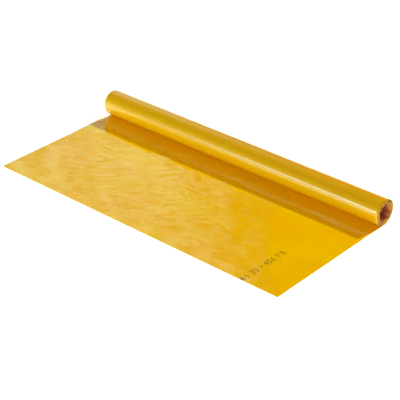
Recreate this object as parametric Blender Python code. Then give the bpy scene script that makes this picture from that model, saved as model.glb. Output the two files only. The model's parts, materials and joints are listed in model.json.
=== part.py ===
"""Roll of see-through welding-curtain film without a core, partly rolled out on a floor.

The film is one long strip. It lies flat from its free edge to the roll, leaves the floor there, bends up
behind the roll, and is wound over the top and down the front into loose turns. The strip is modelled as the
lengths that move differently: the laid sheet, the length that is leaving the floor, and the wound turns.

X runs along the roll, Y from the free edge towards the roll, Z up. The origin is on the floor, in the middle
of the whole object.
"""
import math

import bmesh
import bpy

# Driving dimensions, in metres
FILM_WIDTH = 1.400
FILM_THICKNESS = 0.0004
LAID_LENGTH = 0.6264        # from the free edge to the line under the roll's axis
ROLL_RADIUS = 0.0535        # to the outside of the outermost wound turn
TURN_PITCH = 0.0013         # one turn to the next: the film and the air between
ROUND_TURNS = 12
AXIAL_WANDER = 0.0015       # how far a turn stands out at the roll's ends
GAP = 0.0003                # between lengths that touch

# Angles round the roll, in degrees: 0 is straight down, 90 is the back, 180 the top, 270 the front
LIFT_OFF_TOP = 60.0         # where the length that leaves the floor meets the outermost turn
KINKS = (60.0, 82.0, 131.0, 172.0, 214.0, 258.0, 307.0, 352.0, 397.0, 420.0)
TAIL_END = 617.0            # where the film's inner end stops, counted on from the kinked turn

STEPS_PER_TURN = 48
STEPS_PER_FACET = 3

# Places that follow from the dimensions
DEPTH = LAID_LENGTH + ROLL_RADIUS
FREE_EDGE_Y = -DEPTH / 2
ROLL_Y = DEPTH / 2 - ROLL_RADIUS
ROLL_Z = FILM_THICKNESS + GAP + ROLL_RADIUS

AMBER = (0.86, 0.52, 0.01, 1.0)
DEEP_AMBER = (0.78, 0.42, 0.01, 1.0)
BROWN_AMBER = (0.50, 0.20, 0.02, 1.0)


def film_material(name, colour):
    """Glossy PVC film of one depth of colour."""
    material = bpy.data.materials.new(name)
    material.use_nodes = True
    shader = material.node_tree.nodes["Principled BSDF"]
    shader.inputs["Base Color"].default_value = colour
    shader.inputs["Roughness"].default_value = 0.12
    shader.inputs["Metallic"].default_value = 0.0
    material.diffuse_color = colour
    return material


def add_empty(name, y, z, parent=None):
    """A guide on a joint's axis, which the pieces that move about it hang on."""
    empty = bpy.data.objects.new(name, None)
    empty.location = (0.0, y, z)
    empty.parent = parent
    bpy.context.collection.objects.link(empty)
    return empty


def add_film(name, under, over, colour, parent=None, shift=0.0):
    """A length of film, as wide as the roll, from the (y, z) points of its two faces."""
    low, high = shift - FILM_WIDTH / 2, shift + FILM_WIDTH / 2
    mesh = bmesh.new()
    rows = []
    for first, second in zip(under, over):
        corners = ((low, *first), (high, *first), (high, *second), (low, *second))
        rows.append([mesh.verts.new(corner) for corner in corners])
    for row, following in zip(rows, rows[1:]):
        for side in range(4):
            after = (side + 1) % 4
            mesh.faces.new((row[side], row[after], following[after], following[side]))
    mesh.faces.new(rows[0])
    mesh.faces.new(reversed(rows[-1]))
    bmesh.ops.recalc_face_normals(mesh, faces=mesh.faces)
    data = bpy.data.meshes.new(name)
    mesh.to_mesh(data)
    mesh.free()
    data.shade_smooth()
    data.set_sharp_from_angle(angle=math.radians(30.0))
    data.materials.append(film_material(name + "_film", colour))
    film = bpy.data.objects.new(name, data)
    film.parent = parent
    bpy.context.collection.objects.link(film)
    return film


def round_point(radius, degrees):
    """The (y, z) point at this radius and angle, seen from the roll's axis."""
    angle = math.radians(degrees)
    return radius * math.sin(angle), -radius * math.cos(angle)


def wound_radius(degrees):
    """The outside of the wound film, which comes one pitch nearer the axis with each turn."""
    return ROLL_RADIUS - TURN_PITCH * (degrees - LIFT_OFF_TOP) / 360.0


def kinked_radius(degrees):
    """The outside of the film where it has folded to flats between its kinks."""
    wound = degrees
    while degrees > KINKS[-1]:
        degrees -= 360.0
    for first, second in zip(KINKS, KINKS[1:]):
        if degrees <= second:
            break
    half = math.radians(second - first) / 2
    off_middle = math.radians(degrees - first) - half
    slack = TURN_PITCH - FILM_THICKNESS - GAP
    corner = wound_radius(wound + 360.0 * ROUND_TURNS) + slack
    return corner * math.cos(half) / math.cos(off_middle)


def wrapped_film(name, radius_at, angles, colour, parent, shift):
    """A length of film bent round the roll's axis, through these angles."""
    over = [round_point(radius_at(degrees), degrees) for degrees in angles]
    under = [round_point(radius_at(degrees) - FILM_THICKNESS, degrees) for degrees in angles]
    return add_film(name, under, over, colour, parent, shift)


def spread(first, last, steps):
    """Evenly spaced angles from first to last."""
    return [first + (last - first) * step / steps for step in range(steps + 1)]


def end_gap(radius):
    """Half the angle that leaves a gap between the ends of two lengths of film."""
    return math.degrees(GAP / 2 / radius)


def wander(turn):
    """How far a turn lies to one side along the roll; the outermost turn lies true."""
    return AXIAL_WANDER * math.sin(2.4 * turn)


def build_laid_sheet():
    """The flat film, from the free edge to just under the length that leaves the floor."""
    meeting = ROLL_Y + math.sqrt(ROLL_Z ** 2 - ROLL_RADIUS ** 2)
    under = [(FREE_EDGE_Y, 0.0), (meeting, 0.0)]
    over = [(y, FILM_THICKNESS) for y, _ in under]
    add_film("laid_sheet", under, over, AMBER)


def build_lift_off_length(parent):
    """The film that bends up behind the roll, a gap outside the outermost turn."""
    start = math.degrees(math.acos(ROLL_RADIUS / ROLL_Z))
    angles = spread(start, LIFT_OFF_TOP, 8)
    over = [round_point(ROLL_Z, degrees) for degrees in angles]
    under = [round_point(ROLL_Z - FILM_THICKNESS, degrees) for degrees in angles]
    lifted = [[(y, z + ROLL_Z) for y, z in side] for side in (under, over)]
    add_film("lift_off_length", *lifted, AMBER, parent)


def build_round_turns(parent):
    """The loose round turns, wound inwards, each with its ends a gap from the next."""
    for turn in range(ROUND_TURNS):
        first = LIFT_OFF_TOP + 360.0 * turn
        trim = end_gap(wound_radius(first))
        angles = spread(first + trim, first + 360.0 - trim, STEPS_PER_TURN)
        name = f"wound_turn_{turn + 1:02d}"
        wrapped_film(name, wound_radius, angles, DEEP_AMBER, parent, wander(turn))


def kinked_angles(first, last):
    """The ends, every kink between them and a few steps along each flat."""
    kinks = sorted({kink + 360.0 * lap for kink in KINKS for lap in range(2)})
    stations = [first] + [kink for kink in kinks if first + 1.0 < kink < last - 1.0] + [last]
    angles = [first]
    for start, end in zip(stations, stations[1:]):
        angles += spread(start, end, STEPS_PER_FACET)[1:]
    return angles


def build_kinked_turns(parent):
    """The innermost full turn and the loose end inside it, which have no core behind them."""
    trim = end_gap(kinked_radius(KINKS[0]))
    middle = kinked_angles(KINKS[0] + trim, KINKS[-1] - trim)
    wrapped_film("kinked_turn", kinked_radius, middle, BROWN_AMBER, parent, wander(ROUND_TURNS))
    tail = kinked_angles(KINKS[-1] + trim, TAIL_END)
    wrapped_film("inner_tail", kinked_radius, tail, BROWN_AMBER, parent, wander(ROUND_TURNS + 1))


def main():
    """Empty the scene and build the film."""
    for leftover in list(bpy.data.objects):
        bpy.data.objects.remove(leftover, do_unlink=True)
    lift_off_line = add_empty("lift_off_line", ROLL_Y, 0.0)
    roll_axis = add_empty("roll_axis", 0.0, ROLL_Z, lift_off_line)
    build_laid_sheet()
    build_lift_off_length(lift_off_line)
    build_round_turns(roll_axis)
    build_kinked_turns(roll_axis)


main()
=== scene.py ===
"""Looks of a partly unrolled length of see-through amber welding-curtain film.

The film is one long strip of calendered soft PVC, glossy on both faces and 0.4 mm thick. It lies on a pale
floor from its free edge to the roll, bends up behind the roll, and is wound into loose turns without a core.
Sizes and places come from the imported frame.
"""
from __future__ import annotations

import json
import logging
import math
from dataclasses import dataclass
from enum import Enum
from typing import Any, Callable

import bpy
import numpy as np
from mathutils import Matrix, Quaternion, Vector, noise

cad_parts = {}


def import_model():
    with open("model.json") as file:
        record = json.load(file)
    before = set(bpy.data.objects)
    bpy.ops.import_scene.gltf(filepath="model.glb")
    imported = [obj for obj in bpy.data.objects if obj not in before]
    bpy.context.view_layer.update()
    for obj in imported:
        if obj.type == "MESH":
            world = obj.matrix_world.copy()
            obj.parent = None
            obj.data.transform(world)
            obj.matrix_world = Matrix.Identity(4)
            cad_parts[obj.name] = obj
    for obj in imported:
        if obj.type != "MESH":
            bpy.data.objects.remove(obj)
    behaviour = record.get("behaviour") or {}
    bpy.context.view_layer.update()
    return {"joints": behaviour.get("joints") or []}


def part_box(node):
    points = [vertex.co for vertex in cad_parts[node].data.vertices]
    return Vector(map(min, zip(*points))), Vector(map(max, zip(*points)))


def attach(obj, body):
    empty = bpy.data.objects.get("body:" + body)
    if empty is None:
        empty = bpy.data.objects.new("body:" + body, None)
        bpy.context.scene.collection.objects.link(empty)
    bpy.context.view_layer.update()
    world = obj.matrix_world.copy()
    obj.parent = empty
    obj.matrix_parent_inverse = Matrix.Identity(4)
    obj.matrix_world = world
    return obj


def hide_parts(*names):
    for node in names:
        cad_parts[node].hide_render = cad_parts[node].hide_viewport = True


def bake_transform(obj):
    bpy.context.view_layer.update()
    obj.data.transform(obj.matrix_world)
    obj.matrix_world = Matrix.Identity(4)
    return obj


LOG = logging.getLogger("film")

MM = 0.001
FILM = 0.4 * MM  # the film's thickness
ROLL_GAP = 0.3 * MM  # between the laid film and the roll that stands on it
PVC_IOR = 1.54
NOISE_RANGE = (0.3, 0.7)  # where most of a noise texture's values lie
Colour = tuple[float, float, float, float]
Place = tuple[float, float, float]


def linear(code: str) -> Colour:
    """Turns an sRGB hex colour into linear light.

    Args:
        code: Six hex digits, such as "E0A010".

    Returns:
        Red, green, blue and an alpha of one.
    """
    parts = [int(code[i:i + 2], 16) / 255.0 for i in (0, 2, 4)]
    light = [p / 12.92 if p <= 0.04045 else ((p + 0.055) / 1.055) ** 2.4 for p in parts]
    return (light[0], light[1], light[2], 1.0)


def add_node(
    tree: bpy.types.NodeTree, kind: str, inputs: dict[Any, Any] | None = None, **settings: Any
) -> bpy.types.Node:
    """Adds a node with its settings and what feeds it.

    Args:
        tree: The node tree.
        kind: The node's Blender type.
        inputs: Socket name or number to a value, or to the output socket to link from.
        **settings: The node's own attributes.

    Returns:
        The new node.
    """
    node = tree.nodes.new(kind)
    for name, value in settings.items():
        setattr(node, name, value)
    for key, value in (inputs or {}).items():
        if isinstance(value, bpy.types.NodeSocket):
            tree.links.new(value, node.inputs[key])
        else:
            node.inputs[key].default_value = value
    return node


def blank_material(name: str) -> tuple[bpy.types.Material, bpy.types.NodeTree]:
    """Makes a material whose node tree is empty.

    Args:
        name: The material's name.

    Returns:
        The material and its tree.
    """
    material = bpy.data.materials.new(name)
    material.use_nodes = True
    material.node_tree.nodes.clear()
    return material, material.node_tree


def put(name: str, data: bpy.types.ID) -> bpy.types.Object:
    """Puts a mesh, lamp or camera into the scene as an object of this name."""
    made = bpy.data.objects.new(name, data)
    bpy.context.scene.collection.objects.link(made)
    return made


class Body(Enum):
    """The frame's moving bodies."""

    LAID = "laid_film"
    LIFT_OFF = "lift_off"
    ROLL = "roll"


class Slot(Enum):
    """The record's material slots."""

    LAID = "laid_film"
    WOUND = "wound_film"
    INNER = "inner_film"


# ---------------------------------------- finishes


@dataclass(frozen=True)
class ClearFilm:
    """Calendered soft PVC film, clear amber, polished on both faces by the calender's rolls.

    The eye sees the pale floor through it, all its blue and most of its green gone, a faint haze of the
    film's own colour, and a clean gloss that the film's waviness breaks up.
    """

    name: str = "clear_amber_pvc_film"
    tint: str = "E7B100"  # light let through one face
    haze: str = "EBE800"  # light scattered back by the film
    haze_share: float = 0.30
    gloss: str = "FFF6D8"
    gloss_gain: float = 1.6  # both faces of the film mirror, the lower one through the film
    roughness: float = 0.045
    ripple_mm: float = 30.0  # spacing of the calender's faint waviness
    ripple_height_mm: float = 0.05
    stretch: float = 0.4  # X is scaled by this, which draws the waviness out along the roll
    clouds_per_metre: float = 6.0
    haze_spread: tuple[float, float] = (0.86, 1.12)  # how the clouds thin and thicken the haze
    haze_roughness: float = 0.45

    def build(self) -> bpy.types.Material:
        """Makes the material.

        Returns:
            The material.
        """
        material, tree = blank_material(self.name)
        place = add_node(tree, "ShaderNodeTexCoord").outputs["Object"]
        streaks = add_node(
            tree, "ShaderNodeMapping", {"Vector": place, "Scale": (self.stretch, 1.0, 1.0)}).outputs[0]
        waves = add_node(
            tree, "ShaderNodeTexNoise",
            {"Vector": streaks, "Scale": 1.0 / (self.ripple_mm * MM), "Detail": 2.0, "Roughness": 0.4})
        cloud = add_node(
            tree, "ShaderNodeTexNoise",
            {"Vector": streaks, "Scale": self.clouds_per_metre, "Detail": 3.0})
        relief = add_node(
            tree, "ShaderNodeBump",
            {"Height": waves.outputs["Fac"], "Strength": 1.0, "Distance": self.ripple_height_mm * MM})
        share = add_node(
            tree, "ShaderNodeMapRange",
            {"Value": cloud.outputs["Fac"], "From Min": NOISE_RANGE[0], "From Max": NOISE_RANGE[1],
             "To Min": self.haze_share * self.haze_spread[0],
             "To Max": self.haze_share * self.haze_spread[1]})
        through = add_node(tree, "ShaderNodeBsdfTransparent", {"Color": linear(self.tint)})
        scatter = add_node(
            tree, "ShaderNodeBsdfPrincipled",
            {"Base Color": linear(self.haze), "Roughness": self.haze_roughness, "Specular IOR Level": 0.0,
             "Normal": relief.outputs[0]})
        film = add_node(
            tree, "ShaderNodeMixShader", {0: share.outputs[0], 1: through.outputs[0], 2: scatter.outputs[0]})
        mirror = add_node(tree, "ShaderNodeFresnel", {"IOR": PVC_IOR, "Normal": relief.outputs[0]})
        outside = add_node(
            tree, "ShaderNodeMath",
            {0: 1.0, 1: add_node(tree, "ShaderNodeNewGeometry").outputs["Backfacing"]}, operation="SUBTRACT")
        gain = add_node(
            tree, "ShaderNodeMath", {0: outside.outputs[0], 1: self.gloss_gain}, operation="MULTIPLY")
        amount = add_node(
            tree, "ShaderNodeMath", {0: mirror.outputs[0], 1: gain.outputs[0]}, operation="MULTIPLY",
            use_clamp=True)
        shine = add_node(
            tree, "ShaderNodeBsdfAnisotropic",
            {"Color": linear(self.gloss), "Roughness": self.roughness, "Normal": relief.outputs[0]})
        surface = add_node(
            tree, "ShaderNodeMixShader", {0: amount.outputs[0], 1: film.outputs[0], 2: shine.outputs[0]})
        add_node(tree, "ShaderNodeOutputMaterial", {"Surface": surface.outputs[0]})
        return material


@dataclass(frozen=True)
class StackedFilm:
    """The same calendered amber PVC film wound in many clear layers, one on another.

    Each layer mirrors a little and tints what comes back, so the roll throws back a soft amber picture of the
    room, which metallic stands for, under the outer layer's own white gloss.
    """

    name: str
    colour: str
    depth: float = 0.25  # share of the light thrown back that keeps its direction
    roughness: float = 0.36
    gloss: float = 0.78  # how fully the outer layer mirrors
    gloss_roughness: float = 0.12
    ripple_mm: float = 60.0  # spacing of the windings' slack showing through
    ripple_height_mm: float = 0.06
    fine_mm: float = 15.0  # spacing of the faint shading from layer to layer
    stretch: float = 0.25  # X is scaled by this, which draws the slack out along the roll
    shaded: tuple[float, float, float] = (0.94, 0.88, 0.8)  # what is left of the colour where it is deepest
    blur_spread: tuple[float, float] = (0.85, 1.2)

    def build(self) -> bpy.types.Material:
        """Makes the material.

        Returns:
            The material.
        """
        material, tree = blank_material(self.name)
        place = add_node(tree, "ShaderNodeTexCoord").outputs["Object"]
        along = add_node(
            tree, "ShaderNodeMapping", {"Vector": place, "Scale": (self.stretch, 1.0, 1.0)}).outputs[0]
        slack = add_node(
            tree, "ShaderNodeTexNoise",
            {"Vector": along, "Scale": 1.0 / (self.ripple_mm * MM), "Detail": 3.0, "Roughness": 0.5})
        fine = add_node(
            tree, "ShaderNodeTexNoise",
            {"Vector": along, "Scale": 1.0 / (self.fine_mm * MM), "Detail": 2.0, "Roughness": 0.5})
        relief = add_node(
            tree, "ShaderNodeBump",
            {"Height": slack.outputs["Fac"], "Strength": 1.0, "Distance": self.ripple_height_mm * MM})
        plain = linear(self.colour)
        deep = tuple(c * k for c, k in zip(plain, (*self.shaded, 1.0)))
        shade = add_node(
            tree, "ShaderNodeMix", {"Factor": fine.outputs["Fac"], 6: plain, 7: deep}, data_type="RGBA")
        blur = add_node(
            tree, "ShaderNodeMapRange",
            {"Value": slack.outputs["Fac"], "To Min": self.roughness * self.blur_spread[0],
             "To Max": self.roughness * self.blur_spread[1]})
        gloss = add_node(
            tree, "ShaderNodeBsdfPrincipled",
            {"Base Color": shade.outputs[2], "Metallic": self.depth, "Roughness": blur.outputs[0],
             "Normal": relief.outputs[0], "Coat Weight": self.gloss, "Coat Roughness": self.gloss_roughness,
             "Coat IOR": PVC_IOR, "Coat Normal": relief.outputs[0]})
        add_node(tree, "ShaderNodeOutputMaterial", {"Surface": gloss.outputs[0]})
        return material


@dataclass(frozen=True)
class DullFinish:
    """A dull finish whose colour wanders between two."""

    name: str
    colour: str
    second: str
    blots_per_metre: float
    detail: float
    roughness: float
    specular: float

    def build(self) -> bpy.types.Material:
        """Makes the material.

        Returns:
            The material.
        """
        material, tree = blank_material(self.name)
        place = add_node(tree, "ShaderNodeTexCoord").outputs["Object"]
        blots = add_node(
            tree, "ShaderNodeTexNoise",
            {"Vector": place, "Scale": self.blots_per_metre, "Detail": self.detail})
        shade = add_node(
            tree, "ShaderNodeMix",
            {"Factor": blots.outputs["Fac"], 6: linear(self.colour), 7: linear(self.second)},
            data_type="RGBA")
        surface = add_node(
            tree, "ShaderNodeBsdfPrincipled",
            {"Base Color": shade.outputs[2], "Roughness": self.roughness,
             "Specular IOR Level": self.specular})
        add_node(tree, "ShaderNodeOutputMaterial", {"Surface": surface.outputs[0]})
        return material


@dataclass(frozen=True)
class CutEdge(DullFinish):
    """The film's slit edge, dull, and painted pale: a painted glow for light carried inside the clear film
    out to its cut edge.
    """

    name: str = "slit_pvc_edge_painted_glow"
    colour: str = "F4D078"
    second: str = "D4A03C"  # darker blots across the edge's painted glow
    blots_per_metre: float = 220.0
    detail: float = 2.0
    roughness: float = 0.5
    specular: float = 0.15


@dataclass(frozen=True)
class MarkingInk(DullFinish):
    """Solvent ink jetted on the film as round dots, thin enough to let the amber show through it."""

    name: str = "jetted_marking_ink"
    colour: str = "301000"
    second: str = "441A00"  # where a dot has less ink
    blots_per_metre: float = 400.0
    detail: float = 1.0
    roughness: float = 0.6
    specular: float = 0.1


# ---------------------------------------- meshes


def smoothstep(value: np.ndarray | float, low: float, high: float) -> np.ndarray | float:
    """Rises smoothly from 0 at low to 1 at high."""
    t = np.clip((value - low) / (high - low), 0.0, 1.0)
    return t * t * (3.0 - 2.0 * t)


def soft_noise(a: np.ndarray, b: np.ndarray, seed: float) -> np.ndarray:
    """Gives gradient noise of about -1 to 1 at each pair of a and b."""
    flat = [noise.noise((float(p), float(q), seed)) for p, q in zip(a.ravel(), b.ravel())]
    return np.array(flat).reshape(a.shape)


@dataclass
class FilmStrip:
    """A length of film as a closed solid that follows a path in the YZ plane.

    rows are the stations along the path and columns the stations across the film's width.
    """

    name: str
    middle: np.ndarray  # (rows, columns, 3) points of the film's mid surface
    outward: np.ndarray  # (rows, columns, 3) unit normals of the face that is outermost
    thickness: float
    cut_first: bool = True  # whether the first row ends in a knife cut, or the film runs on
    cut_last: bool = True

    def build(self, face: bpy.types.Material, edge: bpy.types.Material) -> bpy.types.Object:
        """Makes the object, with the slit edges in their own material.

        Args:
            face: The film's material.
            edge: The slit edges' material.

        Returns:
            The new object, its place in its mesh.
        """
        rows, columns, _ = self.middle.shape
        half = self.outward * (self.thickness / 2.0)
        points = np.concatenate([(self.middle + half).reshape(-1, 3), (self.middle - half).reshape(-1, 3)])
        grid = np.arange(rows * columns).reshape(rows, columns)
        under = grid + rows * columns
        top = np.stack([grid[:-1, :-1], grid[:-1, 1:], grid[1:, 1:], grid[1:, :-1]], -1).reshape(-1, 4)
        low = np.stack([under[:-1, :-1], under[1:, :-1], under[1:, 1:], under[:-1, 1:]], -1).reshape(-1, 4)
        sides = [
            np.stack([grid[:-1, 0], grid[1:, 0], under[1:, 0], under[:-1, 0]], -1),
            np.stack([grid[1:, -1], grid[:-1, -1], under[:-1, -1], under[1:, -1]], -1),
            np.stack([grid[0, 1:], grid[0, :-1], under[0, :-1], under[0, 1:]], -1),
            np.stack([grid[-1, :-1], grid[-1, 1:], under[-1, 1:], under[-1, :-1]], -1),
        ]
        faces = np.concatenate([top, low, *sides])
        a, b, c = (points[faces[0, k]] for k in range(3))
        if np.dot(np.cross(b - a, c - a), self.outward[0, 0]) < 0.0:
            faces = faces[:, ::-1]
        mesh = bpy.data.meshes.new(self.name)
        mesh.from_pydata(points.tolist(), [], faces.tolist())
        mesh.materials.append(face)
        mesh.materials.append(edge)
        slit = np.zeros(len(faces), np.int32)
        slit[len(top) + len(low):] = 1
        if not self.cut_first:
            slit[len(faces) - 2 * (columns - 1):len(faces) - (columns - 1)] = 0
        if not self.cut_last:
            slit[len(faces) - (columns - 1):] = 0
        mesh.polygons.foreach_set("material_index", slit)
        mesh.polygons.foreach_set("use_smooth", slit == 0)
        mesh.update()
        return put(self.name, mesh)


@dataclass
class Winding:
    """Where the film runs in the roll: a loose spiral round an axis along X, wound inwards.

    Angles are in degrees from straight down, through the back.
    """

    axis_y: float
    axis_z: float
    radius: float  # outer radius at the start
    pitch: float = 1.3 * MM  # from one turn to the next
    film: float = FILM
    start: float = 60.0  # where the laid length ends and the wound film begins
    round_turns: int = 12
    wander: float = 1.5 * MM  # how far the turns' ends stand out of line
    wander_rate: float = 2.4  # radians of that wander for each turn
    width: float = 1.4

    def reach(self, angle: np.ndarray) -> np.ndarray:
        """Gives the film's outer radius at an angle."""
        return self.radius - self.pitch * (angle - self.start) / 360.0

    def drift(self, angle: np.ndarray) -> np.ndarray:
        """Gives how far the film stands out of line along X at an angle."""
        return self.wander * np.sin(self.wander_rate * (angle - self.start) / 360.0)

    def strip(
        self, name: str, angle: np.ndarray, outer: np.ndarray, across: np.ndarray, slack: Callable
    ) -> FilmStrip:
        """Lays a strip along part of the winding.

        Args:
            name: The piece's name.
            angle: The stations' angles.
            outer: The film's outer radius at each.
            across: Stations across the width, from -1 to 1.
            slack: How far in the film lies, in metres, from grids of angle and across.

        Returns:
            The strip.
        """
        turn = np.radians(angle)
        grid_a, grid_x = np.meshgrid(angle, across, indexing="ij")
        inset = slack(grid_a, grid_x)
        mid = outer[:, None] - self.film / 2.0 - inset
        y = self.axis_y + mid * np.sin(turn)[:, None]
        z = self.axis_z - mid * np.cos(turn)[:, None]
        x = grid_x * self.width / 2.0 + self.drift(grid_a)
        middle = np.stack([x, y, z], -1)
        along = np.gradient(middle, axis=0)
        sideways = np.gradient(middle, axis=1)
        outward = np.cross(sideways, along)
        outward /= np.linalg.norm(outward, axis=-1, keepdims=True)
        centre = middle - np.array([0.0, self.axis_y, self.axis_z])
        centre[..., 0] = 0.0
        outward *= np.sign((outward * centre).sum(-1, keepdims=True))
        return FilmStrip(name, middle, outward, self.film, cut_first=False)


# ---------------------------------------- sub-assemblies


@dataclass
class LaidLength:
    """The unrolled length: flat on the floor, then up the back of the roll."""

    winding: Winding
    free_edge: float
    lift_angle: float = 60.0  # degrees up the back of the roll
    columns: int = 271
    flat_rows: int = 125
    arc_rows: int = 16
    wave_mm: float = 0.7  # what the waves' heights are multiplied by
    slant: tuple[float, float] = (0.75, 0.66)  # the way that the folds run, from X towards Y
    calm_right: tuple[float, float] = (0.10, 0.38)  # the folds die out between these, towards the right
    calm_left: tuple[float, float] = (-0.6, -0.2)  # and grow between these, from the left end
    calm_edge: tuple[float, float] = (-0.01, 0.06)  # and lie flat at the free edge
    calm_roll: tuple[float, float] = (0.015, 0.09)  # and where the roll presses them down
    buckled: tuple[float, float] = (0.03, 0.15)  # buckles come in between these, in front of the roll

    def lift(self, x: np.ndarray, y: np.ndarray) -> np.ndarray:
        """Gives how high the film's waves stand off the floor.

        Each kind of wave is noise, with its waves per metre along and across and then its seed.

        Args:
            x: Places along the roll.
            y: Places along the film's length.

        Returns:
            The height at each place, in metres.
        """
        c, s = self.slant
        along, across = c * x + s * y, c * y - s * x
        swell = soft_noise(x * 3.1 + y * 1.3, y * 7.0 - x * 0.8, 3.0)
        folds = soft_noise(along * 5.5, across * 15.0, 8.0)
        creases = soft_noise(along * 13.0, across * 34.0, 12.0)
        ridges = 1.0 - np.abs(soft_noise(along * 5.0 + 2.0 * swell, across * 13.0, 5.0)) * 3.4
        right = 1.0 - 0.85 * smoothstep(x + 0.35 * y, *self.calm_right)
        reach = right * (0.3 + 0.7 * smoothstep(x, *self.calm_left))
        near = smoothstep(y, *self.buckled)
        buckles = soft_noise(x * 6.0 + y * 9.0, y * 15.0 - x * 3.0, 17.0)
        height = 1.1 + 0.7 * swell + near * (0.7 + 1.3 * buckles) + reach * (
            1.0 * folds + 0.30 * creases + 0.6 * np.clip(ridges, 0.0, 1.0) ** 2)
        pressed = smoothstep(self.winding.axis_y - y, *self.calm_roll)
        flat = smoothstep(y - self.free_edge, *self.calm_edge)
        return np.maximum(height, 0.0) * (pressed * flat) * self.wave_mm * MM

    def height(self, x: np.ndarray, y: np.ndarray) -> np.ndarray:
        """Gives how high the built film stands over its rest, between its stations.

        Args:
            x: Places along the roll.
            y: Places along the film's length.

        Returns:
            The height at each place, in metres.
        """
        half = self.winding.width / 2.0
        step_x = 2.0 * half / (self.columns - 1)
        step_y = (self.winding.axis_y - self.free_edge) / (self.flat_rows - 1)
        at_x, at_y = (x + half) / step_x, (y - self.free_edge) / step_y
        low_x, low_y = np.floor(at_x), np.floor(at_y)
        total = np.zeros_like(x)
        for dx in (0.0, 1.0):
            for dy in (0.0, 1.0):
                share = (1.0 - np.abs(at_x - low_x - dx)) * (1.0 - np.abs(at_y - low_y - dy))
                total += share * self.lift(
                    (low_x + dx) * step_x - half, (low_y + dy) * step_y + self.free_edge)
        return total

    def build(self, finish: bpy.types.Material, edge: bpy.types.Material) -> bpy.types.Object:
        """Makes the laid length.

        Args:
            finish: The film's material.
            edge: The slit edges' material.
        """
        w = self.winding
        film = w.film
        y = np.linspace(self.free_edge, w.axis_y, self.flat_rows)
        radius = w.axis_z - film / 2.0
        turn = np.radians(np.linspace(0.0, self.lift_angle, self.arc_rows)[1:])
        x = np.linspace(-w.width / 2.0, w.width / 2.0, self.columns)
        grid_y, grid_x = np.meshgrid(y, x, indexing="ij")
        flat = np.stack([grid_x, grid_y, film / 2.0 + self.lift(grid_x, grid_y)], -1)
        arc_a, arc_x = np.meshgrid(turn, x, indexing="ij")
        arc = np.stack([arc_x, w.axis_y + radius * np.sin(arc_a), w.axis_z - radius * np.cos(arc_a)], -1)
        middle = np.concatenate([flat, arc])
        outward = np.cross(np.gradient(middle, axis=1), np.gradient(middle, axis=0))
        outward /= np.linalg.norm(outward, axis=-1, keepdims=True)
        made = FilmStrip("laid_film_length", middle, outward, film, cut_last=False).build(finish, edge)
        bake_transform(made)
        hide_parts("laid_sheet", "lift_off_length")
        return made


# Each sign's dots, row by row from its top.
DIGITS = {
    "0": ("01110", "10001", "10011", "10101", "11001", "10001", "01110"),
    "1": ("00100", "01100", "00100", "00100", "00100", "00100", "01110"),
    "2": ("01110", "10001", "00001", "00010", "00100", "01000", "11111"),
    "3": ("11110", "00001", "00001", "01110", "00001", "00001", "11110"),
    "4": ("00010", "00110", "01010", "10010", "11111", "00010", "00010"),
    "5": ("11111", "10000", "11110", "00001", "00001", "10001", "01110"),
    "6": ("00110", "01000", "10000", "11110", "10001", "10001", "01110"),
    "7": ("11111", "00001", "00010", "00100", "01000", "01000", "01000"),
    "8": ("01110", "10001", "10001", "01110", "10001", "10001", "01110"),
    ".": ("00000", "00000", "00100", "01110", "00100", "00000", "00000"),
}


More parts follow.
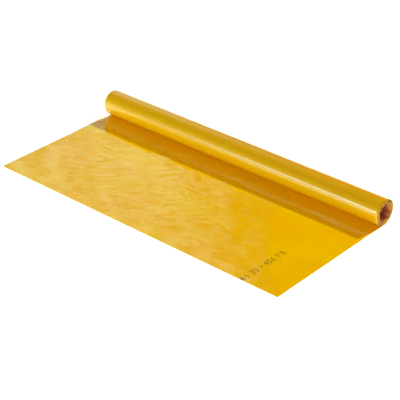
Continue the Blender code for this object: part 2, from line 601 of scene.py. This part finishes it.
@dataclass
class InkMarks:
    """A row of plain counting digits jetted along the film, made of round dots."""

    laid: LaidLength
    margin: float = 3.0 * MM  # from the free edge to where the places below are measured
    # each sign, and how far along the film its middle is
    text: tuple[tuple[str, float], ...] = (
        ("0", 0.0065), ("1", 0.0285), ("2", 0.060), ("3", 0.078), (".", 0.108), ("4", 0.135), ("5", 0.153),
        ("6", 0.1725), ("7", 0.204), ("8", 0.228))
    line_x: float = 0.5385  # the middle of the row, along the roll
    height: float = 20.0 * MM
    glyph_width: float = 10.0 * MM
    dot: float = 1.6 * MM
    dot_sides: int = 10
    dot_spread: tuple[float, float] = (0.85, 1.1)  # smallest and largest dot, as a share of dot
    ink: float = 0.10 * MM
    stand: float = 0.08 * MM  # the dots' middle over the film's upper face

    def dots(self) -> list[list[float]]:
        """Gives the places of the dots on the film's upper face.

        Returns:
            X, Y and Z of each dot.
        """
        rows, columns = len(DIGITS["0"]) - 1, len(DIGITS["0"][0]) - 1
        start = self.laid.free_edge + self.margin
        found = []
        for sign, place in self.text:
            for row, bits in enumerate(DIGITS[sign]):
                for column, bit in enumerate(bits):
                    if bit == "1":
                        found.append((
                            self.line_x + (row / rows - 0.5) * self.height,
                            start + place + (column / columns - 0.5) * self.glyph_width))
        x, y = np.array(found).T
        z = self.laid.height(x, y) + self.laid.winding.film + self.stand
        return np.stack([x, y, z], -1).tolist()

    def tree(self, ink: bpy.types.Material) -> bpy.types.NodeTree:
        """Makes the node tree that sets a dot on each point.

        Args:
            ink: The dots' material.

        Returns:
            The tree, with the dots' radius and depth as inputs.
        """
        tree = bpy.data.node_groups.new("ink_dots", "GeometryNodeTree")
        face = tree.interface
        face.new_socket("Geometry", in_out="INPUT", socket_type="NodeSocketGeometry")
        face.new_socket("Dot Radius", in_out="INPUT", socket_type="NodeSocketFloat")
        face.new_socket("Ink Depth", in_out="INPUT", socket_type="NodeSocketFloat")
        face.new_socket("Geometry", in_out="OUTPUT", socket_type="NodeSocketGeometry")
        given = add_node(tree, "NodeGroupInput")
        dot = add_node(
            tree, "GeometryNodeMeshCylinder",
            {"Vertices": self.dot_sides, "Radius": given.outputs["Dot Radius"],
             "Depth": given.outputs["Ink Depth"]})
        points = add_node(tree, "GeometryNodeMeshToPoints", {"Mesh": given.outputs["Geometry"]})
        smallest, largest = self.dot_spread
        size = add_node(
            tree, "FunctionNodeRandomValue", {2: smallest, 3: largest, "Seed": 4}, data_type="FLOAT")
        spread = add_node(
            tree, "GeometryNodeInstanceOnPoints",
            {"Points": points.outputs[0], "Instance": dot.outputs[0], "Scale": size.outputs[1]})
        real = add_node(tree, "GeometryNodeRealizeInstances", {0: spread.outputs[0]})
        inked = add_node(tree, "GeometryNodeSetMaterial", {"Geometry": real.outputs[0], "Material": ink})
        add_node(tree, "NodeGroupOutput", {0: inked.outputs[0]})
        return tree

    def build(self, ink: bpy.types.Material) -> bpy.types.Object:
        """Makes the marks as one piece, set on the film's waved upper face.

        Args:
            ink: The dots' material.
        """
        points = bpy.data.meshes.new("dot_places")
        points.from_pydata(self.dots(), [], [])
        made = run_nodes("ink_marks", points, self.tree(ink), {
            "Dot Radius": self.dot, "Ink Depth": self.ink})
        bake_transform(made)
        return made


def run_nodes(
    name: str, start: bpy.types.Mesh, tree: bpy.types.NodeTree, values: dict[str, Any]
) -> bpy.types.Object:
    """Runs a Geometry Nodes tree on a mesh and keeps the result as a plain mesh.

    Args:
        name: The new piece's name.
        start: The mesh that the tree begins with.
        tree: The tree.
        values: Its inputs by name.

    Returns:
        The new object, without the modifier.
    """
    carrier = put(name + "_start", start)
    modifier = carrier.modifiers.new(name, "NODES")
    modifier.node_group = tree
    for socket in tree.interface.items_tree:
        if socket.item_type == "SOCKET" and socket.in_out == "INPUT" and socket.name in values:
            modifier[socket.identifier] = values[socket.name]
    bpy.context.view_layer.update()
    graph = bpy.context.evaluated_depsgraph_get()
    mesh = bpy.data.meshes.new_from_object(carrier.evaluated_get(graph), depsgraph=graph)
    mesh.name = name
    carrier.modifiers.remove(modifier)
    bpy.data.objects.remove(carrier)
    return put(name, mesh)


@dataclass
class OuterTurn:
    """The roll's outermost turn, which carries its slight dents and flats."""

    winding: Winding
    steps: int = 216
    columns: int = 121
    crowding: float = 0.35  # how much closer the stations stand near the roll's ends
    deepest: float = 0.62  # mm that the turn may lie in, short of the turn under it

    def slack(self, angle: np.ndarray, across: np.ndarray) -> np.ndarray:
        """Gives how far in the turn lies, from its dents, its flats and its fluttering ends.

        Args:
            angle: Angles along the winding, in degrees.
            across: Places across the width, from -1 to 1.

        Returns:
            The slack at each place, in metres.
        """
        turn = np.radians(angle)
        x = across * self.winding.width / 2.0
        dents = soft_noise(x * 2.6 + 2.0 * np.sin(turn), 1.3 * np.cos(turn) + 0.4 * np.sin(turn), 21.0)
        flats = soft_noise(x * 7.0 + 1.2 * np.sin(turn), 2.2 * np.cos(turn), 29.0)
        ends = smoothstep(np.abs(across), 0.965, 1.0)
        flutter = soft_noise(3.0 * np.sin(turn) + 9.0 * np.sign(across), 3.0 * np.cos(turn), 33.0)
        depth = 0.22 + 0.20 * dents + 0.06 * flats + ends * (0.18 + 0.2 * flutter)
        return np.clip(depth, 0.0, self.deepest) * MM

    def build(self, finish: bpy.types.Material, edge: bpy.types.Material) -> bpy.types.Object:
        """Makes the turn.

        Args:
            finish: The film's material.
            edge: The slit edges' material.
        """
        w = self.winding
        angle = np.linspace(w.start, w.start + 360.0, self.steps + 1)
        even = np.linspace(-1.0, 1.0, self.columns)
        across = np.sin(even * math.pi / 2.0) * self.crowding + even * (1.0 - self.crowding)
        made = w.strip("wound_outer_turn", angle, w.reach(angle), across, self.slack).build(finish, edge)
        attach(made, Body.ROLL.value)
        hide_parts("wound_turn_01")
        return made


# The spiral's sums: each result, its operation, and its terms, which are numbers, inputs or earlier results.
WINDING_SUMS: tuple[tuple[str, str, str | float, str | float], ...] = (
    ("count", "ADD", "Steps", 1.0),
    ("share", "DIVIDE", "index", "Steps"),
    ("turned", "MULTIPLY", "share", "Turns"),
    ("swept", "MULTIPLY", "turned", math.tau),
    ("angle", "ADD", "swept", "Start Angle"),
    ("wound in", "MULTIPLY", "turned", "Pitch"),
    ("outer", "SUBTRACT", "Start Radius", "wound in"),
    ("half film", "MULTIPLY", "Film", 0.5),
    ("radius", "SUBTRACT", "outer", "half film"),
    ("sine", "SINE", "angle", 0.0),
    ("back", "MULTIPLY", "radius", "sine"),
    ("y", "ADD", "Axis Y", "back"),
    ("cosine", "COSINE", "angle", 0.0),
    ("down", "MULTIPLY", "radius", "cosine"),
    ("z", "SUBTRACT", "Axis Z", "down"),
    ("wandered", "MULTIPLY", "turned", "Wander Rate"),
    ("phase", "ADD", "wandered", "Wander Rate"),
    ("wave", "SINE", "phase", 0.0),
    ("out of line", "MULTIPLY", "wave", "Wander"),
    ("uneven", "SUBTRACT", "ruffle", 0.5),
    ("amount", "MULTIPLY", "uneven", "Flutter"),
    ("spoke y", "SUBTRACT", "at y", "Axis Y"),
    ("spoke z", "SUBTRACT", "at z", "Axis Z"),
    ("end on", "ABSOLUTE", "facing x", 0.0),
)


@dataclass
class InnerWindings:
    """The turns under the outermost one, as one spiral length made by rule."""

    winding: Winding
    steps_per_turn: int = 72
    flutter: float = 0.5 * MM
    ruffles_per_metre: float = 26.0
    end_on: float = 0.7  # a face whose normal lies this far along X is a slit edge

    def tree(self, film: bpy.types.Material, edge: bpy.types.Material) -> bpy.types.NodeTree:
        """Makes the node tree of the spiral.

        Args:
            film: The film's material, a paler copy with painted light.
            edge: The slit edges' material.

        Returns:
            The tree, with the winding's sizes as inputs.
        """
        tree = bpy.data.node_groups.new("film_windings", "GeometryNodeTree")
        face = tree.interface
        face.new_socket("Geometry", in_out="INPUT", socket_type="NodeSocketGeometry")
        face.new_socket("Turns", in_out="INPUT", socket_type="NodeSocketFloat")
        face.new_socket("Steps", in_out="INPUT", socket_type="NodeSocketInt")
        for name in ("Start Radius", "Pitch", "Start Angle", "Film", "Width", "Wander", "Wander Rate",
                     "Flutter", "Ruffles", "Axis Y", "Axis Z"):
            face.new_socket(name, in_out="INPUT", socket_type="NodeSocketFloat")
        face.new_socket("Geometry", in_out="OUTPUT", socket_type="NodeSocketGeometry")
        given = add_node(tree, "NodeGroupInput").outputs
        spot = add_node(tree, "GeometryNodeInputPosition").outputs[0]
        parts = add_node(tree, "ShaderNodeSeparateXYZ", {0: spot}).outputs
        facing = add_node(
            tree, "ShaderNodeSeparateXYZ", {0: add_node(tree, "GeometryNodeInputNormal").outputs[0]})
        ruffle = add_node(
            tree, "ShaderNodeTexNoise", {"Vector": spot, "Scale": given["Ruffles"], "Detail": 1.0},
            noise_dimensions="3D")
        value: dict[Any, Any] = {socket.name: socket for socket in given}
        value |= {
            "index": add_node(tree, "GeometryNodeInputIndex").outputs[0], "at y": parts[1],
            "at z": parts[2], "facing x": facing.outputs[0], "ruffle": ruffle.outputs["Fac"]}
        for result, operation, first, second in WINDING_SUMS:
            terms = {0: value.get(first, first), 1: value.get(second, second)}
            value[result] = add_node(tree, "ShaderNodeMath", terms, operation=operation).outputs[0]
        line = add_node(tree, "GeometryNodeMeshLine", {"Count": value["count"]}, mode="OFFSET")
        spline = add_node(tree, "GeometryNodeMeshToCurve", {"Mesh": line.outputs[0]})
        place = add_node(tree, "ShaderNodeCombineXYZ", {0: 0.0, 1: value["y"], 2: value["z"]})
        spiral = add_node(
            tree, "GeometryNodeSetPosition", {"Geometry": spline.outputs[0], "Position": place.outputs[0]})
        marked = add_node(
            tree, "GeometryNodeStoreNamedAttribute",
            {"Geometry": spiral.outputs[0], "Name": "out_of_line", "Value": value["out of line"]},
            data_type="FLOAT", domain="POINT")
        section = add_node(
            tree, "GeometryNodeCurvePrimitiveQuadrilateral",
            {"Width": given["Width"], "Height": given["Film"]})
        swept = add_node(
            tree, "GeometryNodeCurveToMesh",
            {"Curve": marked.outputs[0], "Profile Curve": section.outputs[0], "Fill Caps": True})
        spoke = add_node(
            tree, "ShaderNodeCombineXYZ", {0: 0.0, 1: value["spoke y"], 2: value["spoke z"]})
        unit = add_node(tree, "ShaderNodeVectorMath", {0: spoke.outputs[0]}, operation="NORMALIZE")
        shift = add_node(
            tree, "ShaderNodeVectorMath", {0: unit.outputs[0], "Scale": value["amount"]}, operation="SCALE")
        drift = add_node(
            tree, "GeometryNodeInputNamedAttribute", {"Name": "out_of_line"}, data_type="FLOAT")
        sideways = add_node(tree, "ShaderNodeCombineXYZ", {0: drift.outputs[0]})
        moved = add_node(
            tree, "ShaderNodeVectorMath", {0: shift.outputs[0], 1: sideways.outputs[0]}, operation="ADD")
        ruffled = add_node(
            tree, "GeometryNodeSetPosition", {"Geometry": swept.outputs[0], "Offset": moved.outputs[0]})
        at_end = add_node(
            tree, "FunctionNodeCompare", {0: value["end on"], 1: self.end_on},
            data_type="FLOAT", operation="GREATER_THAN")
        flat = add_node(
            tree, "GeometryNodeSetShadeSmooth", {"Geometry": ruffled.outputs[0], "Shade Smooth": False})
        real = add_node(tree, "GeometryNodeRealizeInstances", {0: flat.outputs[0]})
        faced = add_node(tree, "GeometryNodeSetMaterial", {"Geometry": real.outputs[0], "Material": film})
        edged = add_node(
            tree, "GeometryNodeSetMaterial",
            {"Geometry": faced.outputs[0], "Selection": at_end.outputs[0], "Material": edge})
        add_node(tree, "NodeGroupOutput", {0: edged.outputs[0]})
        return tree

    def build(self, finish: bpy.types.Material, edge: bpy.types.Material) -> bpy.types.Object:
        """Makes the windings.

        Args:
            finish: The film's material, a paler copy with painted light.
            edge: The slit edges' material.
        """
        w = self.winding
        turns = w.round_turns - 1
        made = run_nodes("wound_inner_turns", bpy.data.meshes.new("no_start"), self.tree(finish, edge), {
            "Turns": float(turns), "Steps": turns * self.steps_per_turn,
            "Start Radius": w.radius - w.pitch, "Pitch": w.pitch, "Start Angle": math.radians(w.start),
            "Film": w.film, "Width": w.width, "Wander": w.wander, "Wander Rate": w.wander_rate,
            "Flutter": self.flutter, "Ruffles": self.ruffles_per_metre, "Axis Y": w.axis_y,
            "Axis Z": w.axis_z})
        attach(made, Body.ROLL.value)
        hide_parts(*[f"wound_turn_{k:02d}" for k in range(2, w.round_turns + 1)])
        return made


@dataclass
class SlackHeart:
    """The film's inner end, which nothing holds round: it lies in flats and soft kinks inside the turns."""

    winding: Winding
    kinks: tuple[float, ...] = (60, 82, 131, 172, 214, 258, 307, 352, 397, 420)
    tail_end: float = 617.0
    clearance: float = 0.3 * MM  # from the last round turn to the kinks
    tail_inset: float = 1.25 * MM  # from the kinked turn to the tail inside it
    rounding: float = 5.0  # degrees to each side of a kink over which it is rounded off
    loose_from: float = 0.86  # share of the half width past which the heart sags
    # where each sag at the roll's open ends is and how far it reaches, in degrees, and its depth in mm
    sags: tuple[tuple[float, float, float], ...] = ((57.0, 10.0, 4.5), (111.0, 9.0, 2.2))
    turn_steps: int = 180
    tail_steps: int = 98
    columns: int = 61

    def corner(self, angle: float) -> float:
        """Gives the outer radius that a kink reaches, just inside the last round turn."""
        w = self.winding
        return float(w.reach(np.array(angle + 360.0 * w.round_turns))) + w.pitch - w.film - self.clearance

    def chord(self, angle: np.ndarray) -> np.ndarray:
        """Gives the outer radius along the flats between the kinks.

        Args:
            angle: Angles from the first kink to the last, in degrees.

        Returns:
            The radius at each.
        """
        radii = np.zeros_like(angle)
        for low, high in zip(self.kinks[:-1], self.kinks[1:]):
            inside = (angle >= low - 1e-6) & (angle <= high + 1e-6)
            a, b = math.radians(low), math.radians(high)
            ra, rb = self.corner(low), self.corner(high)
            t = np.radians(angle[inside])
            radii[inside] = ra * rb * math.sin(b - a) / (ra * np.sin(t - a) + rb * np.sin(b - t))
        return radii

    def softened(self, angle: np.ndarray, sharp: np.ndarray) -> np.ndarray:
        """Rounds the kinks off.

        Args:
            angle: Angles, in degrees.
            sharp: The radius at each, with sharp kinks.

        Returns:
            The radius at each, with soft ones.
        """
        out = np.empty_like(sharp)
        for i, a in enumerate(angle):
            weight = np.maximum(0.0, 1.0 - np.abs(angle - a) / self.rounding)
            out[i] = (weight * sharp).sum() / weight.sum()
        return out

    def lie(self, angle: np.ndarray, across: np.ndarray) -> np.ndarray:
        """Gives how far in the heart lies, which grows towards the roll's open ends.

        Args:
            angle: Angles along the winding, in degrees.
            across: Places across the width, from -1 to 1.

        Returns:
            The slack at each place, in metres.
        """
        turn = np.radians(angle)
        wave = soft_noise(across * 2.2 + np.sin(turn) * 1.5, np.cos(turn) * 1.5, 41.0)
        at = angle % 360.0
        sag = sum(depth * np.exp(-((at - place) / reach) ** 2) for place, reach, depth in self.sags)
        loose = smoothstep(np.abs(across), self.loose_from, 1.0)
        loose = loose * smoothstep(angle - self.kinks[0], 0.0, 25.0)
        return (0.25 + 0.25 * wave + loose * sag) * MM

    def build(self, finish: bpy.types.Material, edge: bpy.types.Material) -> list[bpy.types.Object]:
        """Makes the last whole turn and the tail.

        Args:
            finish: The film's material, a darker and redder copy with painted shade.
            edge: The slit edges' material.
        """
        w = self.winding
        across = np.linspace(-1.0, 1.0, self.columns)
        made = []
        first = np.linspace(self.kinks[0], self.kinks[-1], self.turn_steps + 1)
        radius = self.softened(first, self.chord(first))
        strips = [("slack_kinked_turn", "kinked_turn", first, radius)]
        last = np.linspace(self.kinks[-1], self.tail_end, self.tail_steps + 1)
        inner = np.interp(last - 360.0, first, radius) - self.tail_inset
        strips.append(("slack_tail", "inner_tail", last, inner))
        for name, node, angle, outer in strips:
            piece = w.strip(name, angle, outer, across, self.lie).build(finish, edge)
            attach(piece, Body.ROLL.value)
            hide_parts(node)
            made.append(piece)
        return made


# ---------------------------------------- studio


@dataclass(frozen=True)
class Card:
    """A studio's reflector, plain or faced with crumpled foil, which only reflections see."""

    name: str
    centre: Place
    facing: Place
    width: float
    height: float
    strength: float
    fade: float = 0.0  # share of the width over which the panel fades in from its left side
    colour: str = "FFFFFF"
    crumple: float = 0.0  # how unevenly the panel's foil shines
    folds_per_metre: float = 6.5
    fold_flatness: float = 2.4  # the folds are this much closer up and down than across
    fold_depth: tuple[float, float] = (0.42, 0.58)  # the noise values of the dullest and brightest foil
    dimmed: float = 0.7  # how much of the light the dullest foil loses
    brightened: float = 0.25  # and how much the brightest one gains

    def build(self) -> None:
        """Makes the panel."""
        normal = Vector(self.facing).normalized()
        right = normal.cross(Vector((0.0, 0.0, 1.0))).normalized()
        up = right.cross(normal)
        middle = Vector(self.centre)
        corners = [
            middle + right * (a * self.width / 2.0) + up * (b * self.height / 2.0)
            for a, b in ((-1, -1), (1, -1), (1, 1), (-1, 1))
        ]
        mesh = bpy.data.meshes.new(self.name)
        mesh.from_pydata([tuple(c) for c in corners], [], [(0, 1, 2, 3)])
        layer = mesh.uv_layers.new(name="panel")
        for loop, spot in zip(layer.data, ((0, 0), (1, 0), (1, 1), (0, 1))):
            loop.uv = spot
        material, tree = blank_material(self.name)
        panel = add_node(tree, "ShaderNodeTexCoord").outputs["UV"]
        across = add_node(tree, "ShaderNodeSeparateXYZ", {0: panel})
        grid = add_node(
            tree, "ShaderNodeMapping",
            {"Vector": panel, "Scale": (self.width, self.fold_flatness * self.height, 1.0)})
        foil = add_node(
            tree, "ShaderNodeTexNoise",
            {"Vector": grid.outputs[0], "Scale": self.folds_per_metre, "Detail": 2.5, "Roughness": 0.5,
             "Distortion": 0.5})
        torn = add_node(
            tree, "ShaderNodeMath", {0: foil.outputs["Fac"], 1: self.crumple, 2: across.outputs[0]},
            operation="MULTIPLY_ADD")
        start = 0.5 * self.crumple
        soft = add_node(
            tree, "ShaderNodeMapRange",
            {"Value": torn.outputs[0], "From Min": start, "From Max": start + max(self.fade, 1e-4),
             "To Min": 0.0, "To Max": self.strength}, interpolation_type="SMOOTHSTEP")
        dull = add_node(
            tree, "ShaderNodeMapRange",
            {"Value": foil.outputs["Fac"], "From Min": self.fold_depth[0], "From Max": self.fold_depth[1],
             "To Min": 1.0 - self.dimmed * self.crumple, "To Max": 1.0 + self.brightened * self.crumple})
        power = add_node(
            tree, "ShaderNodeMath", {0: soft.outputs[0], 1: dull.outputs[0]}, operation="MULTIPLY")
        glow = add_node(
            tree, "ShaderNodeEmission", {"Color": linear(self.colour), "Strength": power.outputs[0]})
        add_node(tree, "ShaderNodeOutputMaterial", {"Surface": glow.outputs[0]})
        mesh.materials.append(material)
        made = put(self.name, mesh)
        for kind in ("camera", "diffuse", "shadow", "transmission", "volume_scatter"):
            setattr(made, f"visible_{kind}", False)


@dataclass(frozen=True)
class Lamp:
    """A square lamp that reflections don't see."""

    name: str
    place: Place
    aim: Place
    size: float
    power: float
    colour: tuple[float, float, float]

    def build(self) -> None:
        """Makes the lamp."""
        light = bpy.data.lights.new(self.name, "AREA")
        light.shape = "SQUARE"
        light.size = self.size
        light.energy = self.power
        light.color = self.colour
        made = put(self.name, light)
        made.location = self.place
        made.rotation_euler = (Vector(self.aim) - Vector(self.place)).to_track_quat("-Z", "Y").to_euler()
        made.visible_glossy = False
        made.visible_camera = False


@dataclass
class Studio:
    """A white sweep, a crisp light from behind on the right, soft fill, reflectors, and the camera."""

    floor_half: float = 14.0
    floor_drop: float = 0.2 * MM  # under the film, so that their faces don't coincide
    floor_paint: str = "F0F0F0"
    floor_glow: float = 0.66
    floor_tone: Colour = (1.0, 0.97, 0.95, 1.0)
    horizon: Colour = (0.5, 0.5, 0.5, 1.0)
    ceiling: Colour = (0.28, 0.10, 0.0, 1.0)
    climb: tuple[float, float] = (0.02, 0.42)  # where the horizon turns into the ceiling
    soft_fill: Colour = (0.27, 0.26, 0.26, 1.0)
    backdrop: Colour = (1.05, 1.05, 1.05, 1.0)
    lamps: tuple[Lamp, ...] = (
        Lamp("key", (1.70, 6.36, 5.22), (0.1, 0.15, 0.0), 0.36, 1130.0, (0.90, 1.0, 0.7)),
        Lamp("front_fill", (-1.0, -4.1, 0.4), (0.0, 0.25, 0.05), 1.2, 350.0, (0.64, 1.0, 0.5)),
    )
    cards: tuple[Card, ...] = (
        Card("back_left_card", (-2.75, 2.25, 2.3), (0.664, -0.748, -0.15), 2.2, 2.6, 1.0, 0.46, "C0FFFF",
             0.9),
        Card("low_front_card", (-1.6, -2.6, 0.55), (0.45, 0.89, 0.0), 2.6, 0.5, 15.0, 1.0, "74BCFF"),
    )
    camera_aim: Place = (0.068, -0.022, 0.0)
    camera_azimuth: float = 41.60
    camera_elevation: float = 30.20
    camera_tilt: float = -0.16
    camera_distance: float = 5.136
    camera_lens_mm: float = 121.5

    def floor(self) -> None:
        """Makes the floor."""
        mesh = bpy.data.meshes.new("floor")
        side = self.floor_half
        mesh.from_pydata([(-side, -side, 0.0), (side, -side, 0.0), (side, side, 0.0), (-side, side, 0.0)], [],
                         [(0, 1, 2, 3)])
        mesh.transform(Matrix.Translation((0.0, 0.0, -self.floor_drop)))
        material, tree = blank_material("white_painted_sweep")
        paint = add_node(
            tree, "ShaderNodeBsdfPrincipled",
            {"Base Color": linear(self.floor_paint), "Roughness": 0.9, "Specular IOR Level": 0.0,
             "Emission Color": self.floor_tone, "Emission Strength": self.floor_glow})
        add_node(tree, "ShaderNodeOutputMaterial", {"Surface": paint.outputs[0]})
        mesh.materials.append(material)
        put("floor", mesh)

    def room(self) -> None:
        """Makes the room's light: white to the eye, but in reflections grey low down and dim amber above."""
        world = bpy.data.worlds.new("room")
        bpy.context.scene.world = world
        world.use_nodes = True
        tree = world.node_tree
        tree.nodes.clear()
        path = add_node(tree, "ShaderNodeLightPath")
        way = add_node(
            tree, "ShaderNodeSeparateXYZ", {0: add_node(tree, "ShaderNodeTexCoord").outputs["Generated"]})
        climb = add_node(
            tree, "ShaderNodeMapRange",
            {"Value": way.outputs[2], "From Min": self.climb[0], "From Max": self.climb[1], "To Min": 0.0,
             "To Max": 1.0}, interpolation_type="SMOOTHSTEP")
        mirrored = add_node(
            tree, "ShaderNodeMix", {"Factor": climb.outputs[0], 6: self.horizon, 7: self.ceiling},
            data_type="RGBA")
        fill = add_node(
            tree, "ShaderNodeMix",
            {"Factor": path.outputs["Is Diffuse Ray"], 6: mirrored.outputs[2], 7: self.soft_fill},
            data_type="RGBA")
        seen = add_node(
            tree, "ShaderNodeMix",
            {"Factor": path.outputs["Is Camera Ray"], 6: fill.outputs[2], 7: self.backdrop},
            data_type="RGBA")
        glow = add_node(tree, "ShaderNodeBackground", {"Color": seen.outputs[2], "Strength": 1.0})
        add_node(tree, "ShaderNodeOutputWorld", {"Surface": glow.outputs[0]})

    def camera(self) -> None:
        """Adds the camera at the product view."""
        azimuth, elevation = math.radians(self.camera_azimuth), math.radians(self.camera_elevation)
        back = Vector((
            math.sin(azimuth) * math.cos(elevation), -math.cos(azimuth) * math.cos(elevation),
            math.sin(elevation)))
        lens = bpy.data.cameras.new("product_view")
        lens.lens = self.camera_lens_mm
        lens.sensor_width = 36.0
        lens.clip_end = 60.0
        made = put("product_view", lens)
        made.location = Vector(self.camera_aim) + back * self.camera_distance
        look = (-back).to_track_quat("-Z", "Y")
        made.rotation_mode = "QUATERNION"
        made.rotation_quaternion = look @ Quaternion((0.0, 0.0, 1.0), math.radians(self.camera_tilt))
        bpy.context.scene.camera = made

    def build(self) -> None:
        """Sets up the studio."""
        bpy.context.scene.view_settings.view_transform = "Standard"
        self.floor()
        self.room()
        for piece in (*self.lamps, *self.cards):
            piece.build()
        self.camera()


def main() -> None:
    """Builds the film, its marks and the studio, in order."""
    logging.basicConfig(level=logging.INFO, format="%(message)s")
    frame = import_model()
    low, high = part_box("laid_sheet")
    axis = next(j for j in frame["joints"] if j["name"] == "roll_turn")["pos_m"]
    winding = Winding(
        axis_y=axis[1], axis_z=axis[2], radius=axis[2] - FILM - ROLL_GAP, width=high[0] - low[0])
    film, wound = ClearFilm().build(), StackedFilm("wound_amber_pvc_film", "DC9C00").build()
    # the heart's film: the amber film made darker and redder, painted shade for the dim light inside the
    # roll's bore
    inner = StackedFilm("inner_amber_pvc_film_painted_shade", "C4784C", depth=0.1, roughness=0.5, gloss=0.15).build()
    # the inner turns' film: the amber film made paler, painted light for light let through the thin film at
    # the roll's open ends
    loose = StackedFilm("loose_wound_amber_pvc_film_painted_light", "EAB22C", depth=0.0, roughness=0.5, gloss=0.2).build()
    edge, ink = CutEdge().build(), MarkingInk().build()
    laid = LaidLength(winding, free_edge=low[1])
    pieces = [laid.build(film, edge), InkMarks(laid).build(ink), OuterTurn(winding).build(wound, edge),
              InnerWindings(winding).build(loose, edge), *SlackHeart(winding).build(inner, edge)]
    for piece in pieces:
        LOG.info("%s: %d faces", piece.name, len(piece.data.polygons))
    Studio().build()


if __name__ == "__main__":
    main()
